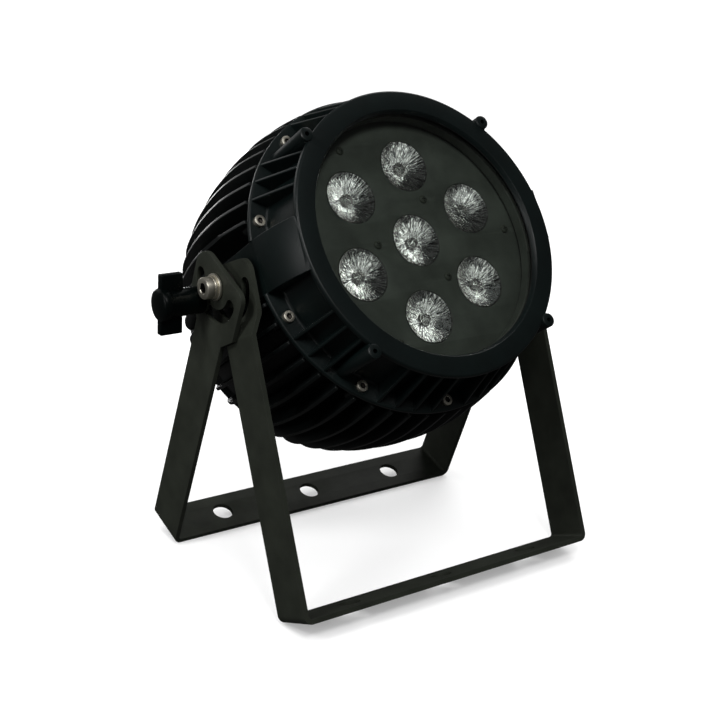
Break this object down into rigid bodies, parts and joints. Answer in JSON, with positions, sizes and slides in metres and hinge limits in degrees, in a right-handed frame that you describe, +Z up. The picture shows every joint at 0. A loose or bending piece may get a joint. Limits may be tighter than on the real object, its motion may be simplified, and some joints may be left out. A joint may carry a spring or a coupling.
{
  "type": "par can light",
  "caption": "Round finned weatherproof LED par light with a clear window over faceted lenses, tilting on a double U-shaped yoke that stands or hangs.",
  "frame": {"origin": "on the floor, below the middle of the bounding box, with the light standing on its two brackets", "axes": "+Z up, +X to the right seen from the front, -Y the way the lenses face"},
  "size_m": [0.2912, 0.2327, 0.2937],
  "materials": {
    "cast_black": "semi-matt black powder coat on die-cast aluminium",
    "sink_black": "satin black powder coat on die-cast aluminium",
    "bracket_black": "matt textured black powder coat on steel strip",
    "stainless": "plain stainless steel",
    "zinc_steel": "zinc plated steel",
    "knob_plastic": "glossy black phenolic",
    "seal_rubber": "black silicone rubber",
    "window_glass": "clear toughened glass",
    "lens_clear": "clear acrylic with faceted cone",
    "plate_black": "matt black paint",
    "holder_black": "black moulded nylon",
    "led_emitter": "phosphor-coated emitter",
    "board_white": "white solder mask on aluminium",
    "pad_grey": "thermally conductive silicone pad",
    "board_green": "green solder mask with components",
    "supply_case": "folded aluminium case",
    "display_tint": "tinted acrylic",
    "button_grey": "grey silicone rubber",
    "socket_plastic": "black glass-filled nylon",
    "friction_fibre": "dark fibre"
  },
  "bodies": {
    "rear_bracket": {"rear_bracket": "bracket_black", "outer_friction_discs": "friction_fibre"},
    "front_bracket": {"front_bracket": "bracket_black"},
    "head": {"front_housing": "cast_black", "heat_sink": "sink_black", "housing_seal": "seal_rubber", "flange_screws": "stainless", "front_glass": "window_glass", "glass_seal": "seal_rubber", "glass_retainer": "plate_black", "retainer_screws": "zinc_steel", "lens_plate": "plate_black", "lens_plate_screws": "bracket_black", "lens_plate_pillars": "zinc_steel", "lens_1": "lens_clear", "lens_2": "lens_clear", "lens_3": "lens_clear", "lens_4": "lens_clear", "lens_5": "lens_clear", "lens_6": "lens_clear", "lens_7": "lens_clear", "lens_holder_1": "holder_black", "lens_holder_2": "holder_black", "lens_holder_3": "holder_black", "lens_holder_4": "holder_black", "lens_holder_5": "holder_black", "lens_holder_6": "holder_black", "lens_holder_7": "holder_black", "led_chips": "led_emitter", "led_board": "board_white", "thermal_pad": "pad_grey", "driver_board": "board_green", "power_supply": "supply_case", "supply_pillars": "zinc_steel", "board_pillars": "zinc_steel", "rear_cover": "sink_black", "rear_cover_seal": "seal_rubber", "rear_cover_screws": "stainless", "display_window": "display_tint", "display_board": "board_green", "power_inlet": "socket_plastic", "power_outlet": "socket_plastic", "data_inlet": "socket_plastic", "data_outlet": "socket_plastic", "vent_plug": "socket_plastic", "safety_eye": "stainless", "pivot_screws": "stainless", "spring_washers": "stainless", "flat_washers": "stainless", "inner_friction_discs": "friction_fibre"},
    "knob_left": {"knob_left": "knob_plastic", "knob_stud_left": "zinc_steel", "knob_washer_left": "bracket_black"},
    "knob_right": {"knob_right": "knob_plastic", "knob_stud_right": "zinc_steel", "knob_washer_right": "bracket_black"},
    "button_menu": {"button_menu": "button_grey"},
    "button_down": {"button_down": "button_grey"},
    "button_up": {"button_up": "button_grey"},
    "button_enter": {"button_enter": "button_grey"}
  },
  "joints": [
    {"name": "head_tilt", "type": "hinge", "parent": "rear_bracket", "child": "head", "pos_m": [0, -0.01108, 0.18544], "axis": [1, 0, 0], "range_deg": [-90, 22]},
    {"name": "front_bracket_fold", "type": "hinge", "parent": "rear_bracket", "child": "front_bracket", "pos_m": [0, -0.01108, 0.18544], "axis": [1, 0, 0], "range_deg": [-6, 34]},
    {"name": "knob_left_turn", "type": "hinge", "parent": "head", "child": "knob_left", "pos_m": [-0.13, 0.00276, 0.17424], "axis": [-1, 0, 0], "continuous": true},
    {"name": "knob_right_turn", "type": "hinge", "parent": "head", "child": "knob_right", "pos_m": [0.13, 0.00276, 0.17424], "axis": [1, 0, 0], "continuous": true},
    {"name": "button_menu_press", "type": "slide", "parent": "head", "child": "button_menu", "axis": [0, -0.8161, 0.5779], "range_m": [0, 0.0012], "stiffness_N_per_m": 600, "springref_m": -0.001},
    {"name": "button_down_press", "type": "slide", "parent": "head", "child": "button_down", "axis": [0, -0.8161, 0.5779], "range_m": [0, 0.0012], "stiffness_N_per_m": 600, "springref_m": -0.001},
    {"name": "button_up_press", "type": "slide", "parent": "head", "child": "button_up", "axis": [0, -0.8161, 0.5779], "range_m": [0, 0.0012], "stiffness_N_per_m": 600, "springref_m": -0.001},
    {"name": "button_enter_press", "type": "slide", "parent": "head", "child": "button_enter", "axis": [0, -0.8161, 0.5779], "range_m": [0, 0.0012], "stiffness_N_per_m": 600, "springref_m": -0.001}
  ]
}
